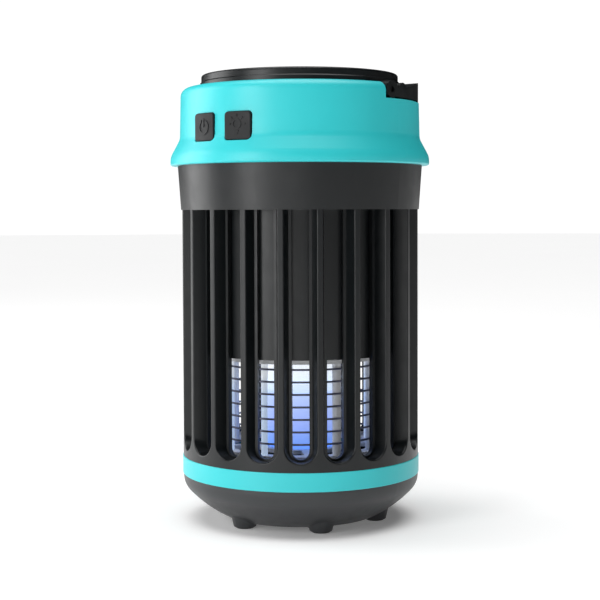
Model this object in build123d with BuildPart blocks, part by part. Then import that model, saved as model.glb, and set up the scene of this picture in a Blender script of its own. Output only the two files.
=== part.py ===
"""Portable electric bug zapper: a lantern head on a ribbed cage that holds a UV lamp and a shock grid.

Units are millimetres and +Z is up. The origin is the centre of the plane that the feet stand on.
The front, where the two buttons are, faces -Y, and the carrying bail hinges about an axis along X.
Angles called "bearing" are measured from the front (-Y) towards +X.
"""
from build123d import *
from math import cos, hypot, radians, sin
import os

os.makedirs("parts", exist_ok=True)

# Heights of the main stack
tray_floor_z = 1.7
tray_rim_z = 16.2
ring_top_z = 22.5
groove_bottom_z = 25.4
slot_bottom_z = 26.0
core_bottom_z = 58.2
cage_top_z = 107.5
neck_top_z = 111.5
deck_z = 113.0
deck_top_z = 115.0
collar_bottom_z = 122.7
spigot_top_z = 127.0
shelf_z = 141.0
recess_floor_z = 144.0
collar_top_z = 149.5
bezel_top_z = 154.0

# Radii of the main stack
crest_r = 41.1
groove_floor_r = 36.7
cage_bore_r = 35.0
core_r = 34.7
neck_r = 39.2
band_bottom_r = 41.45
band_top_r = 42.5
band_bore_r = 39.5
flange_r = 45.0
collar_low_r = 41.7
collar_top_r = 41.4
collar_bore_r = 39.6
collar_hole_r = 34.9
bezel_r = 34.6
ring_r = 41.3
ring_bore_r = 38.9

# Clearances
screw_clearance = 0.05
button_gap = 0.2
pin_clearance = 0.05
overlap = 0.5
seal_squeeze = 0.1
lens_gap = 0.2
cut_width = 120.0
cut_depth = 80.0
cut_height = 20.0

# Ribs and slots of the cage
rib_count = 20
groove_bearing = 38.6
rib_bearing = groove_bearing + 180 / rib_count
groove_floor_half = 3.8
groove_mouth_half = 5.75
slot_half = 2.84
crest_fillet = 0.45

front_plane = Plane(origin=(0, 0, 0), x_dir=(1, 0, 0), z_dir=(0, -1, 0))


def pan_screw(head_r, head_height, shank_r, length):
    """A cross-recess pan-head screw along +Z: head below the origin plane, shank above it."""
    with BuildPart() as screw:
        with BuildSketch(Plane.XY.offset(-head_height)):
            Circle(head_r)
        extrude(amount=head_height)
        fillet(screw.faces().sort_by(Axis.Z)[0].edges(), radius=head_height * 0.45)
        with BuildSketch(Plane.XY):
            Circle(shank_r)
        extrude(amount=length)
        chamfer(screw.faces().sort_by(Axis.Z)[-1].edges(), length=shank_r * 0.4)
        with BuildSketch(Plane.XY.offset(-head_height)):
            Rectangle(head_r * 1.1, head_r * 0.24)
            Rectangle(head_r * 0.24, head_r * 1.1)
        extrude(amount=head_height * 0.55, mode=Mode.SUBTRACT)
    return screw.part


# ---------------------------------------------------------------- insect tray, its seal and its feet
tray_wall = 1.8
tray_r = 41.0
skirt_height = 0.9
shoulder_radius = 6.5
shoulder_turn = 43.5
bowl_radius = 43.0
bowl_turn = 20.73
tray_spigot_r = 38.5
tray_spigot_wall = 1.5
tray_spigot_height = 2.9
seal_depth = 0.6
tray_seal_z = tray_rim_z + 0.9
tray_seal_height = 1.0

tray_shells = []
for inset in (0, tray_wall):
    with BuildPart() as shell:
        with BuildSketch(Plane.XZ):
            with BuildLine():
                skirt = Line((tray_r - inset, tray_rim_z), (tray_r - inset, tray_rim_z - skirt_height))
                shoulder = JernArc(
                    start=skirt @ 1,
                    tangent=(0, -1),
                    radius=shoulder_radius - inset,
                    arc_size=-shoulder_turn,
                )
                bowl = JernArc(
                    start=shoulder @ 1, tangent=shoulder % 1, radius=bowl_radius - inset, arc_size=-bowl_turn
                )
                Polyline(
                    bowl @ 1,
                    (0, tray_floor_z + inset),
                    (0, tray_rim_z),
                    (tray_r - inset, tray_rim_z),
                )
            make_face()
        revolve(axis=Axis.Z)
    tray_shells.append(shell.part)
tray_envelope, tray_cavity = tray_shells

foot_count = 6
foot_bearing = -7
foot_pitch_r = 26.6
foot_tip_r = 3.8
foot_root_r = 5.6
foot_bottom_z = 0.4
foot_root_z = 8.0
foot_edge = 0.3
foot_flare = 0.9
pad_r = 3.0
pad_height = 1.2
rim_lap = 1.0

foot_axes = [
    (foot_pitch_r * sin(radians(bearing)), -foot_pitch_r * cos(radians(bearing)))
    for bearing in range(foot_bearing, foot_bearing + 360, 360 // foot_count)
]

with BuildPart() as insect_tray:
    add(tray_envelope)
    with Locations((0, 0, foot_bottom_z)):
        with PolarLocations(foot_pitch_r, foot_count, start_angle=foot_bearing - 90):
            Cone(
                foot_tip_r,
                foot_root_r,
                foot_root_z - foot_bottom_z,
                align=(Align.CENTER, Align.CENTER, Align.MIN),
            )
    fillet(insect_tray.edges().filter_by(GeomType.CIRCLE).group_by(Axis.Z)[0], radius=foot_edge)
    fillet(
        insect_tray.edges().filter_by(
            lambda edge: edge.geom_type != GeomType.LINE
            and tray_floor_z - 0.01 < (edge @ 0.5).Z < foot_root_z
            and min(hypot((edge @ 0.5).X - x, (edge @ 0.5).Y - y) for x, y in foot_axes) < foot_root_r
        ),
        radius=foot_flare,
    )
    add(tray_cavity, mode=Mode.SUBTRACT)
    with BuildSketch(Plane.XY):
        with PolarLocations(foot_pitch_r, foot_count, start_angle=foot_bearing - 90):
            Circle(pad_r)
    extrude(amount=pad_height, mode=Mode.SUBTRACT)
    with BuildSketch(Plane.XY.offset(tray_rim_z - tray_wall)):
        Circle(tray_r - rim_lap)
        Circle(tray_spigot_r - tray_spigot_wall, mode=Mode.SUBTRACT)
    extrude(amount=tray_wall)
    with BuildSketch(Plane.XY.offset(tray_rim_z)):
        Circle(tray_spigot_r)
        Circle(tray_spigot_r - tray_spigot_wall, mode=Mode.SUBTRACT)
    extrude(amount=tray_spigot_height)
    with BuildSketch(Plane.XY.offset(tray_seal_z)):
        Circle(tray_spigot_r)
        Circle(tray_spigot_r - seal_depth, mode=Mode.SUBTRACT)
    extrude(amount=tray_seal_height, mode=Mode.SUBTRACT)
insect_tray.part.label = "insect_tray"
export_step(insect_tray.part, "parts/insect_tray.step")

with BuildPart() as tray_seal:
    with BuildSketch(Plane.XY.offset(tray_seal_z)):
        Circle(tray_spigot_r + seal_squeeze)
        Circle(tray_spigot_r - seal_depth, mode=Mode.SUBTRACT)
    extrude(amount=tray_seal_height)
tray_seal.part.label = "tray_seal"
export_step(tray_seal.part, "parts/tray_seal.step")

with BuildPart() as rubber_feet:
    with BuildSketch(Plane.XY):
        with PolarLocations(foot_pitch_r, foot_count, start_angle=foot_bearing - 90):
            Circle(pad_r)
    extrude(amount=pad_height)
rubber_feet.part.label = "rubber_feet"
export_step(rubber_feet.part, "parts/rubber_feet.step")

# ---------------------------------------------------------------- teal ring under the cage
ring_flange = 1.6
ring_flange_r = 34.5
ring_screw_count = 4
ring_screw_r = 36.8
ring_shank_r = 1.0
ring_shank_length = 7.5
ring_edge = 0.35

with BuildPart() as bottom_ring:
    with BuildSketch(Plane.XY.offset(tray_rim_z)):
        Circle(ring_r)
        Circle(ring_bore_r, mode=Mode.SUBTRACT)
    extrude(amount=ring_top_z - tray_rim_z)
    with BuildSketch(Plane.XY.offset(ring_top_z - ring_flange)):
        Circle(ring_bore_r + overlap)
        Circle(ring_flange_r, mode=Mode.SUBTRACT)
    extrude(amount=ring_flange)
    fillet(
        bottom_ring.edges().filter_by(
            lambda edge: edge.geom_type == GeomType.CIRCLE and edge.radius > ring_r - 0.01
        ),
        radius=ring_edge,
    )
    with BuildSketch(Plane.XY.offset(ring_top_z - ring_flange)):
        with PolarLocations(ring_screw_r, ring_screw_count, start_angle=rib_bearing):
            Circle(ring_shank_r + screw_clearance)
    extrude(amount=ring_flange, mode=Mode.SUBTRACT)
bottom_ring.part.label = "bottom_ring"
export_step(bottom_ring.part, "parts/bottom_ring.step")

ring_screw = pan_screw(1.9, 1.5, ring_shank_r, ring_shank_length)
with BuildPart() as ring_screws:
    with Locations((0, 0, ring_top_z - ring_flange)):
        with PolarLocations(ring_screw_r, ring_screw_count, start_angle=rib_bearing):
            add(ring_screw)
ring_screws.part.label = "ring_screws"
export_step(ring_screws.part, "parts/ring_screws.step")

# ---------------------------------------------------------------- ribbed cage
ledge_r = 31.0
ledge_thickness = 1.5
body_screw_count = 4
body_screw_r = 37.1
body_shank_r = 0.9
body_shank_length = 6.5

with BuildPart() as groove_cutter:
    for distance, half_width in ((groove_floor_r, groove_floor_half), (crest_r + 0.4, groove_mouth_half)):
        with BuildSketch(front_plane.offset(distance)):
            with Locations((0, groove_bottom_z + half_width)):
                Circle(half_width)
                Rectangle(
                    2 * half_width,
                    cage_top_z - groove_bottom_z - half_width,
                    align=(Align.CENTER, Align.MIN),
                )
    loft()

with BuildPart() as slot_cutter:
    with BuildSketch(front_plane.offset(cage_bore_r - 2)):
        with Locations((0, slot_bottom_z + slot_half)):
            Circle(slot_half)
            Rectangle(
                2 * slot_half,
                cage_top_z - slot_bottom_z - slot_half,
                align=(Align.CENTER, Align.MIN),
            )
    extrude(amount=groove_floor_r - cage_bore_r + 3)

with BuildPart() as cage:
    with BuildSketch(Plane.XY.offset(ring_top_z)):
        Circle(crest_r)
    extrude(amount=cage_top_z - ring_top_z)
    with BuildSketch(Plane.XY.offset(cage_top_z)):
        Circle(neck_r)
    extrude(amount=neck_top_z - cage_top_z)
    with BuildSketch(Plane.XY.offset(ring_top_z + ledge_thickness)):
        Circle(cage_bore_r)
    extrude(amount=neck_top_z - ring_top_z, mode=Mode.SUBTRACT)
    with BuildSketch(Plane.XY.offset(ring_top_z)):
        Circle(ledge_r)
    extrude(amount=ledge_thickness, mode=Mode.SUBTRACT)
    with PolarLocations(0, rib_count, start_angle=groove_bearing):
        add(groove_cutter.part, mode=Mode.SUBTRACT)
    fillet(
        cage.edges().filter_by(
            lambda edge: abs(hypot((edge @ 0.5).X, (edge @ 0.5).Y) - crest_r) < 0.01
            and ring_top_z + 1 < (edge @ 0.5).Z < cage_top_z - 1
        ),
        radius=crest_fillet,
    )
    with PolarLocations(0, rib_count, start_angle=groove_bearing):
        add(slot_cutter.part, mode=Mode.SUBTRACT)
    with BuildSketch(Plane.XY.offset(ring_top_z)):
        with PolarLocations(ring_screw_r, ring_screw_count, start_angle=rib_bearing):
            Circle(ring_shank_r + screw_clearance)
    extrude(amount=ring_shank_length, mode=Mode.SUBTRACT)
    with BuildSketch(Plane.XY.offset(neck_top_z)):
        with PolarLocations(body_screw_r, body_screw_count, start_angle=rib_bearing):
            Circle(body_shank_r + screw_clearance)
    extrude(amount=-body_shank_length, mode=Mode.SUBTRACT)
cage.part.label = "cage"
export_step(cage.part, "parts/cage.step")

# ---------------------------------------------------------------- inner core behind the upper slots
core_wall = 1.6
core_floor = 2.0
core_bore_r = core_r - core_wall
lead_hole_r = 1.0
lamp_socket_r = 6.0

with BuildPart() as core_housing:
    with BuildSketch(Plane.XY.offset(core_bottom_z)):
        Circle(core_r)
    extrude(amount=deck_z - core_bottom_z)
    with BuildSketch(Plane.XY.offset(neck_top_z)):
        Circle(neck_r)
    extrude(amount=deck_z - neck_top_z)
    with BuildSketch(Plane.XY.offset(core_bottom_z + core_floor)):
        Circle(core_bore_r)
    extrude(amount=deck_z - core_bottom_z - core_floor, mode=Mode.SUBTRACT)
    with BuildSketch(Plane.XY.offset(core_bottom_z)):
        Circle(lamp_socket_r)
    extrude(amount=core_floor, mode=Mode.SUBTRACT)
    with BuildSketch(Plane.XY.offset(neck_top_z)):
        with PolarLocations(body_screw_r, body_screw_count, start_angle=rib_bearing):
            Circle(body_shank_r + screw_clearance)
    extrude(amount=deck_z - neck_top_z, mode=Mode.SUBTRACT)
core_housing.part.label = "core_housing"
export_step(core_housing.part, "parts/core_housing.step")

# ---------------------------------------------------------------- black band and deck
deck_hole_r = 24.0
spigot_r = 39.3
spigot_bore_r = 37.8
seal_seat_r = 38.6
collar_seal_z = 123.8
collar_seal_height = 1.4
collar_post_r = 29.5
collar_post_bearings = (60, 120, 240, 300)
collar_shank_r = 1.2
collar_shank_length = 12.0

band_outline = [
    (deck_hole_r, deck_z),
    (band_bore_r, deck_z),
    (band_bore_r, cage_top_z),
    (band_bottom_r, cage_top_z),
    (band_top_r, collar_bottom_z),
    (spigot_r, collar_bottom_z),
    (spigot_r, collar_seal_z),
    (seal_seat_r, collar_seal_z),
    (seal_seat_r, collar_seal_z + collar_seal_height),
    (spigot_r, collar_seal_z + collar_seal_height),
    (spigot_r, spigot_top_z),
    (spigot_bore_r, spigot_top_z),
    (spigot_bore_r, deck_top_z + 4),
    (band_bore_r, deck_top_z + 4),
    (band_bore_r, deck_top_z),
    (deck_hole_r, deck_top_z),
]

with BuildPart() as upper_housing:
    with BuildSketch(Plane.XZ):
        Polygon(*band_outline, align=None)
    revolve(axis=Axis.Z)
    with BuildSketch(Plane.XY.offset(deck_z)):
        with PolarLocations(body_screw_r, body_screw_count, start_angle=rib_bearing):
            Circle(body_shank_r + screw_clearance)
        for bearing in collar_post_bearings:
            with PolarLocations(collar_post_r, 1, start_angle=bearing - 90):
                Circle(collar_shank_r + screw_clearance)
    extrude(amount=deck_top_z - deck_z, mode=Mode.SUBTRACT)
upper_housing.part.label = "upper_housing"
export_step(upper_housing.part, "parts/upper_housing.step")

with BuildPart() as collar_seal:
    with BuildSketch(Plane.XY.offset(collar_seal_z)):
        Circle(collar_bore_r)
        Circle(seal_seat_r, mode=Mode.SUBTRACT)
    extrude(amount=collar_seal_height)
collar_seal.part.label = "collar_seal"
export_step(collar_seal.part, "parts/collar_seal.step")

body_screw = pan_screw(1.9, 1.4, body_shank_r, body_shank_length + deck_top_z - neck_top_z - 0.5)
with BuildPart() as body_screws:
    with Locations(Location((0, 0, deck_top_z), (180, 0, 0))):
        with PolarLocations(body_screw_r, body_screw_count, start_angle=-rib_bearing):
            add(body_screw)
body_screws.part.label = "body_screws"
export_step(body_screws.part, "parts/body_screws.step")

collar_screw = pan_screw(2.3, 1.6, collar_shank_r, collar_shank_length)
with BuildPart() as collar_screws:
    for bearing in collar_post_bearings:
        with Locations((0, 0, deck_z)):
            with PolarLocations(collar_post_r, 1, start_angle=bearing - 90):
                add(collar_screw)
collar_screws.part.label = "collar_screws"
export_step(collar_screws.part, "parts/collar_screws.step")

# ---------------------------------------------------------------- teal collar
flange_edge = 0.6
flange_shoulder_z = 124.2
flare_turn_r = 44.3
flare_turn_z = 127.0
flare_run = 4.46
cove_end_z = 132.9
top_round = 3.0
lip_thickness = 2.0
recess_front_y = -6.1
recess_wall = 1.6
recess_wall_inset = 0.3
post_r = 3.0
post_top_z = 139.0
post_hole_depth = 12.5
bezel_screw_r = 36.8
bezel_screw_bearings = (45, 135, 225, 315)
bezel_shank_r = 0.9
bezel_boss_r = 2.2
bezel_web_length = 3.4
bezel_web_width = 2.4
bezel_hole_depth = 2.6
board_hole_depth = 4.5
post_web = 1.8

button_width = 9.65
button_height = 9.1
button_corner = 1.2
button_x = 7.26
button_z = 134.7
board_post_x = 15.6
board_post_r = 2.1
board_post_length = 7.3
board_face_y = -30.0
board_shank_r = 0.75

usb_z = 137.0
usb_pocket_half = 8.6
usb_pocket_z = 130.6
usb_pocket_top_z = 142.0
usb_pocket_r = 40.6
usb_pocket_y = 37.6
usb_pocket_reach = 10.0
usb_hole_width = 11.0
usb_hole_height = 5.6
usb_pin_y = 42.6
usb_pin_z = 132.2
usb_pin_r = 0.6
usb_ear_x = 6.6
usb_ear_width = 1.8
usb_barrel_r = 1.2
usb_ear_lap = 0.2
usb_ear_reach = 3.0
usb_hole_corner = 1.5
usb_cut_start = 2.0
usb_cut_depth = 6.0
key_cut_start = 4.0
key_cut_depth = 10.0

with BuildPart() as usb_pocket:
    with Locations((0, usb_pocket_y, usb_pocket_z)):
        Box(
            2 * usb_pocket_half,
            usb_pocket_reach,
            usb_pocket_top_z - usb_pocket_z,
            align=(Align.CENTER, Align.MIN, Align.MIN),
        )
    with Locations((0, 0, usb_pocket_z)):
        Cylinder(usb_pocket_r, cut_height, align=(Align.CENTER, Align.CENTER, Align.MIN), mode=Mode.SUBTRACT)

with BuildPart() as usb_ears:
    for side in (-1, 1):
        with BuildSketch(Plane.YZ.offset(side * (usb_ear_x + usb_ear_width / 2))):
            with Locations((usb_pin_y, usb_pin_z)):
                Circle(usb_barrel_r + usb_ear_lap)
                Rectangle(usb_ear_reach, 2 * (usb_barrel_r + usb_ear_lap), align=(Align.MAX, Align.CENTER))
        extrude(amount=usb_ear_width / 2, both=True)

with BuildPart() as top_collar:
    with BuildSketch(Plane.XZ):
        with BuildLine():
            Line((collar_bore_r, collar_bottom_z), (flange_r - flange_edge, collar_bottom_z))
            foot_arc = RadiusArc(
                (flange_r - flange_edge, collar_bottom_z),
                (flange_r, collar_bottom_z + flange_edge),
                -flange_edge,
            )
            lip = Line(foot_arc @ 1, (flange_r, flange_shoulder_z))
            flare = TangentArc(lip @ 1, (flare_turn_r, flare_turn_z), tangent=(0, 1))
            slope = Line(flare @ 1, flare @ 1 + (flare % 1) * flare_run)
            cove = TangentArc(slope @ 1, (collar_low_r, cove_end_z), tangent=slope % 1)
            side = Line(cove @ 1, (collar_top_r, collar_top_z - top_round))
            top_arc = RadiusArc(side @ 1, (collar_top_r - top_round, collar_top_z), -top_round)
            Polyline(
                top_arc @ 1,
                (collar_hole_r, collar_top_z),
                (collar_hole_r, collar_top_z - lip_thickness),
                (collar_bore_r, collar_top_z - lip_thickness),
                (collar_bore_r, collar_bottom_z),
            )
        make_face()
    revolve(axis=Axis.Z)
    with BuildSketch(front_plane.offset(-board_face_y)):
        with Locations((-board_post_x, button_z), (board_post_x, button_z)):
            Rectangle(2 * board_post_r, 2 * board_post_r)
    extrude(amount=board_post_length)
    with Locations((0, recess_front_y, recess_floor_z)):
        Box(
            cut_width,
            cut_depth,
            cut_height,
            align=(Align.CENTER, Align.MIN, Align.MIN),
            mode=Mode.SUBTRACT,
        )
    with BuildSketch(Plane.XY.offset(shelf_z)):
        Circle(collar_bore_r + overlap)
        Circle(collar_hole_r, mode=Mode.SUBTRACT)
        with Locations((0, recess_front_y - recess_wall)):
            Rectangle(cut_width, cut_depth, align=(Align.CENTER, Align.MIN), mode=Mode.INTERSECT)
    extrude(amount=recess_floor_z - shelf_z)
    with BuildSketch(Plane.XY.offset(shelf_z)):
        Circle(collar_bore_r + overlap)
        Circle(collar_hole_r + recess_wall_inset, mode=Mode.SUBTRACT)
        with Locations((0, recess_front_y)):
            Rectangle(cut_width, recess_wall, align=(Align.CENTER, Align.MAX), mode=Mode.INTERSECT)
    extrude(amount=collar_top_z - lip_thickness - shelf_z + overlap)
    with BuildSketch(Plane.XY.offset(shelf_z)):
        for bearing in (-45, 45):
            with PolarLocations(bezel_screw_r, 1, start_angle=bearing - 90):
                Circle(bezel_boss_r)
                Rectangle(bezel_web_length, bezel_web_width, align=(Align.MIN, Align.CENTER))
    extrude(amount=collar_top_z - lip_thickness - shelf_z + overlap)
    with BuildSketch(Plane.XY.offset(deck_top_z)):
        for bearing in collar_post_bearings:
            with PolarLocations(collar_post_r, 1, start_angle=bearing - 90):
                Circle(post_r)
                Circle(collar_shank_r + screw_clearance, mode=Mode.SUBTRACT)
    extrude(amount=post_hole_depth)
    with BuildSketch(Plane.XY.offset(deck_top_z + post_hole_depth)):
        for bearing in collar_post_bearings:
            with PolarLocations(collar_post_r, 1, start_angle=bearing - 90):
                Circle(post_r)
                Rectangle(collar_bore_r - collar_post_r + overlap, post_web, align=(Align.MIN, Align.CENTER))
    extrude(amount=post_top_z - deck_top_z - post_hole_depth)
    with BuildSketch(Plane.XY.offset(shelf_z)):
        for bearing in bezel_screw_bearings:
            with PolarLocations(bezel_screw_r, 1, start_angle=bearing - 90):
                Circle(bezel_shank_r + screw_clearance)
    extrude(amount=bezel_hole_depth, mode=Mode.SUBTRACT)
    with BuildSketch(front_plane.offset(-board_face_y)):
        with Locations((-board_post_x, button_z), (board_post_x, button_z)):
            Circle(board_shank_r + screw_clearance)
    extrude(amount=board_hole_depth, mode=Mode.SUBTRACT)
    with BuildSketch(front_plane.offset(collar_bore_r - key_cut_start)):
        with Locations((-button_x, button_z), (button_x, button_z)):
            RectangleRounded(
                button_width + 2 * button_gap, button_height + 2 * button_gap, button_corner + button_gap
            )
    extrude(amount=key_cut_depth, mode=Mode.SUBTRACT)
    add(usb_pocket.part, mode=Mode.SUBTRACT)
    with BuildSketch(Plane.XZ.offset(usb_cut_start - collar_bore_r)):
        with Locations((0, usb_z)):
            RectangleRounded(usb_hole_width, usb_hole_height, usb_hole_corner)
    extrude(amount=-usb_cut_depth, mode=Mode.SUBTRACT)
    add(usb_ears.part)
    with BuildSketch(Plane.YZ):
        with Locations((usb_pin_y, usb_pin_z)):
            Circle(usb_pin_r)
    extrude(amount=usb_pocket_half, both=True, mode=Mode.SUBTRACT)
top_collar.part.label = "top_collar"
export_step(top_collar.part, "parts/top_collar.step")

# ---------------------------------------------------------------- lantern head in the collar's top
lug_z = 139.2
lug_length = 5.2
lug_width = 8.0
lens_crown = 0.8
lens_round = 0.7
gasket_width = 1.8
tier_z = 151.2
tier_step = 0.4
bezel_edge = 0.8
bezel_bore_r = 33.0
lens_opening_r = 28.0
lens_seat_r = 30.6
lens_top_z = 152.3
lens_bottom_z = 150.3
gasket_bottom_z = 149.3
bail_axis_y = -2.5
bail_axis_z = 147.1
bail_pin_r = 1.0

with BuildPart() as lamp_bezel:
    with BuildSketch(Plane.XZ):
        with BuildLine():
            Polyline(
                (bezel_bore_r, lug_z),
                (bezel_r, lug_z),
                (bezel_r, tier_z),
                (bezel_r - tier_step, tier_z + tier_step),
                (bezel_r - tier_step, bezel_top_z - bezel_edge),
            )
            RadiusArc(
                (bezel_r - tier_step, bezel_top_z - bezel_edge),
                (bezel_r - tier_step - bezel_edge, bezel_top_z),
                -bezel_edge,
            )
            Polyline(
                (bezel_r - tier_step - bezel_edge, bezel_top_z),
                (lens_opening_r + 1.2, bezel_top_z),
                (lens_opening_r, lens_top_z + 0.6),
                (lens_opening_r, lens_top_z),
                (lens_seat_r, lens_top_z),
                (lens_seat_r, gasket_bottom_z),
                (bezel_bore_r, gasket_bottom_z),
                (bezel_bore_r, lug_z),
            )
        make_face()
    revolve(axis=Axis.Z)
    with BuildSketch(Plane.XY.offset(lug_z)):
        for bearing in bezel_screw_bearings:
            with PolarLocations(bezel_bore_r + 0.4, 1, start_angle=bearing - 90):
                Rectangle(lug_length, lug_width, align=(Align.MIN, Align.CENTER))
    extrude(amount=shelf_z - lug_z)
    with BuildSketch(Plane.XY.offset(lug_z)):
        for bearing in bezel_screw_bearings:
            with PolarLocations(bezel_screw_r, 1, start_angle=bearing - 90):
                Circle(bezel_shank_r + screw_clearance)
    extrude(amount=shelf_z - lug_z, mode=Mode.SUBTRACT)
    with BuildSketch(Plane.YZ):
        with Locations((bail_axis_y, bail_axis_z)):
            Circle(bail_pin_r)
    extrude(amount=bezel_r + 1, both=True, mode=Mode.SUBTRACT)
lamp_bezel.part.label = "lamp_bezel"
export_step(lamp_bezel.part, "parts/lamp_bezel.step")

bezel_screw = pan_screw(1.8, 1.3, bezel_shank_r, shelf_z - lug_z + 2.4)
with BuildPart() as bezel_screws:
    for bearing in bezel_screw_bearings:
        with Locations((0, 0, lug_z)):
            with PolarLocations(bezel_screw_r, 1, start_angle=bearing - 90):
                add(bezel_screw)
bezel_screws.part.label = "bezel_screws"
export_step(bezel_screws.part, "parts/bezel_screws.step")

with BuildPart() as lamp_lens:
    with BuildSketch(Plane.XY.offset(lens_bottom_z)):
        Circle(lens_seat_r - lens_gap)
    extrude(amount=lens_top_z - lens_bottom_z)
    with BuildSketch(Plane.XY.offset(lens_top_z)):
        Circle(lens_opening_r - lens_gap)
    extrude(amount=lens_crown)
    fillet(lamp_lens.faces().sort_by(Axis.Z)[-1].edges(), radius=lens_round)
lamp_lens.part.label = "lamp_lens"
export_step(lamp_lens.part, "parts/lamp_lens.step")

with BuildPart() as lens_gasket:
    with BuildSketch(Plane.XY.offset(gasket_bottom_z)):
        Circle(lens_seat_r - lens_gap)
        Circle(lens_seat_r - gasket_width, mode=Mode.SUBTRACT)
    extrude(amount=lens_bottom_z - gasket_bottom_z)
lens_gasket.part.label = "lens_gasket"
export_step(lens_gasket.part, "parts/lens_gasket.step")

reflector_neck_r = 10.0
reflector_rim_r = 31.2
reflector_bottom_z = 138.2
reflector_wall = 1.2
led_board_r = 16.0
led_board_thickness = 1.6
led_size = 3.0
led_height = 1.2
led_ring_r = 5.5

with BuildPart() as lamp_reflector:
    with BuildSketch(Plane.XZ):
        with BuildLine():
            inner = ThreePointArc(
                (reflector_neck_r, reflector_bottom_z), (21.5, 142.6), (lens_seat_r - 2.4, gasket_bottom_z)
            )
            Polyline(
                inner @ 1,
                (reflector_rim_r, gasket_bottom_z),
                (reflector_rim_r, gasket_bottom_z - reflector_wall),
                (lens_seat_r - 1.0, gasket_bottom_z - reflector_wall),
            )
            ThreePointArc(
                (lens_seat_r - 1.0, gasket_bottom_z - reflector_wall),
                (22.5, 141.4),
                (reflector_neck_r + 2, reflector_bottom_z),
            )
            Line((reflector_neck_r + 2, reflector_bottom_z), inner @ 0)
        make_face()
    revolve(axis=Axis.Z)
lamp_reflector.part.label = "lamp_reflector"
export_step(lamp_reflector.part, "parts/lamp_reflector.step")

with BuildPart() as lamp_led_board:
    with BuildSketch(Plane.XY.offset(reflector_bottom_z)):
        Circle(led_board_r)
    extrude(amount=-led_board_thickness)
lamp_led_board.part.label = "lamp_led_board"
export_step(lamp_led_board.part, "parts/lamp_led_board.step")

with BuildPart() as lamp_leds:
    with BuildSketch(Plane.XY.offset(reflector_bottom_z)):
        Rectangle(led_size, led_size)
        with PolarLocations(led_ring_r, 6):
            Rectangle(led_size, led_size)
    extrude(amount=led_height)
lamp_leds.part.label = "lamp_leds"
export_step(lamp_leds.part, "parts/lamp_leds.step")

# ---------------------------------------------------------------- carrying bail and its pins
bail_inner_r = 35.8
bail_outer_r = 41.2
bail_boss_r = 2.9
bail_hump_y = 3.7
bail_hump_r = 2.45
bail_bottom_z = 144.4
bail_top_z = 151.2
bail_edge = 0.5
pin_head_r = 1.8

with BuildPart() as bail_handle:
    with BuildSketch(Plane.YZ):
        with Locations((bail_axis_y, bail_axis_z)):
            Circle(bail_boss_r)
        with Locations((bail_hump_y, bail_axis_z)):
            Circle(bail_hump_r)
        Polygon(
            (bail_axis_y, bail_bottom_z + 0.3),
            (bail_hump_y, bail_bottom_z + 0.1),
            (50, bail_bottom_z),
            (50, bail_top_z),
            (23.5, bail_top_z),
            (7.4, bail_axis_z + 1.3),
            (6.2, bail_axis_z + 0.9),
            (bail_axis_y, bail_axis_z + 0.9),
            align=None,
        )
    extrude(amount=50, both=True)
    with BuildSketch(Plane.XY.offset(bail_bottom_z - 2)):
        Circle(bail_outer_r)
        Circle(bail_inner_r, mode=Mode.SUBTRACT)
    extrude(amount=12, mode=Mode.INTERSECT)
    with BuildSketch(Plane.YZ):
        with Locations((bail_axis_y, bail_axis_z)):
            Circle(bail_pin_r + pin_clearance)
    extrude(amount=50, both=True, mode=Mode.SUBTRACT)
bail_handle.part.label = "bail_handle"
export_step(bail_handle.part, "parts/bail_handle.step")

with BuildPart() as bail_pins:
    for side in (-1, 1):
        with BuildSketch(Plane.YZ.offset(side * 31.5)):
            with Locations((bail_axis_y, bail_axis_z)):
                Circle(pin_head_r)
        extrude(amount=side * 1.2)
        with BuildSketch(Plane.YZ.offset(side * 32.0)):
            with Locations((bail_axis_y, bail_axis_z)):
                Circle(bail_pin_r)
        extrude(amount=side * 8.6)
bail_pins.part.label = "bail_pins"
export_step(bail_pins.part, "parts/bail_pins.step")

# ---------------------------------------------------------------- buttons, switches and their board
button_face_r = 42.4
icon_height = 0.2
icon_start_y = -39.0
icon_depth = 5.0
power_ring_r = 2.6
power_ring_in_r = 1.75
power_gap = 1.8
power_bar = (0.75, 2.8)
bulb_r = 1.7
bulb_in_r = 1.15
bulb_rise = 0.5
bulb_ray = (0.9, 0.5)
bulb_ray_r = 2.75
bulb_bars = ((-1.75, 1.5), (-2.55, 1.1))
bulb_bar_height = 0.48
ear_lap = 1.0
ear_trim = 0.2
key_edge = 0.3
switch_bore_gap = 0.3
switch_bore_depth = 2.2
ear_front_y = -37.1
ear_back_y = -35.9
stem_r = 1.6
stem_end_y = -34.2
plunger_r = 1.7
plunger_inner_y = -32.2
switch_face_y = -33.4
switch_size = 6.0
board_thickness = 1.2
board_width = 36.0
board_height = 11.0
board_z = 133.6

with BuildPart() as power_icon:
    with BuildSketch(front_plane.offset(-icon_start_y)):
        with Locations((-button_x, button_z)):
            Circle(power_ring_r)
            Circle(power_ring_in_r, mode=Mode.SUBTRACT)
            Rectangle(power_gap, power_ring_r, align=(Align.CENTER, Align.MIN), mode=Mode.SUBTRACT)
            Rectangle(*power_bar, align=(Align.CENTER, Align.MIN))
    extrude(amount=icon_depth)

with BuildPart() as light_icon:
    with BuildSketch(front_plane.offset(-icon_start_y)):
        with Locations((button_x, button_z + bulb_rise)):
            Circle(bulb_r)
            Circle(bulb_in_r, mode=Mode.SUBTRACT)
            with PolarLocations(bulb_ray_r, 5, start_angle=0, angular_range=180, endpoint=True):
                Rectangle(*bulb_ray)
        for drop, width in bulb_bars:
            with Locations((button_x, button_z + drop)):
                Rectangle(width, bulb_bar_height)
    extrude(amount=icon_depth)


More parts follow.
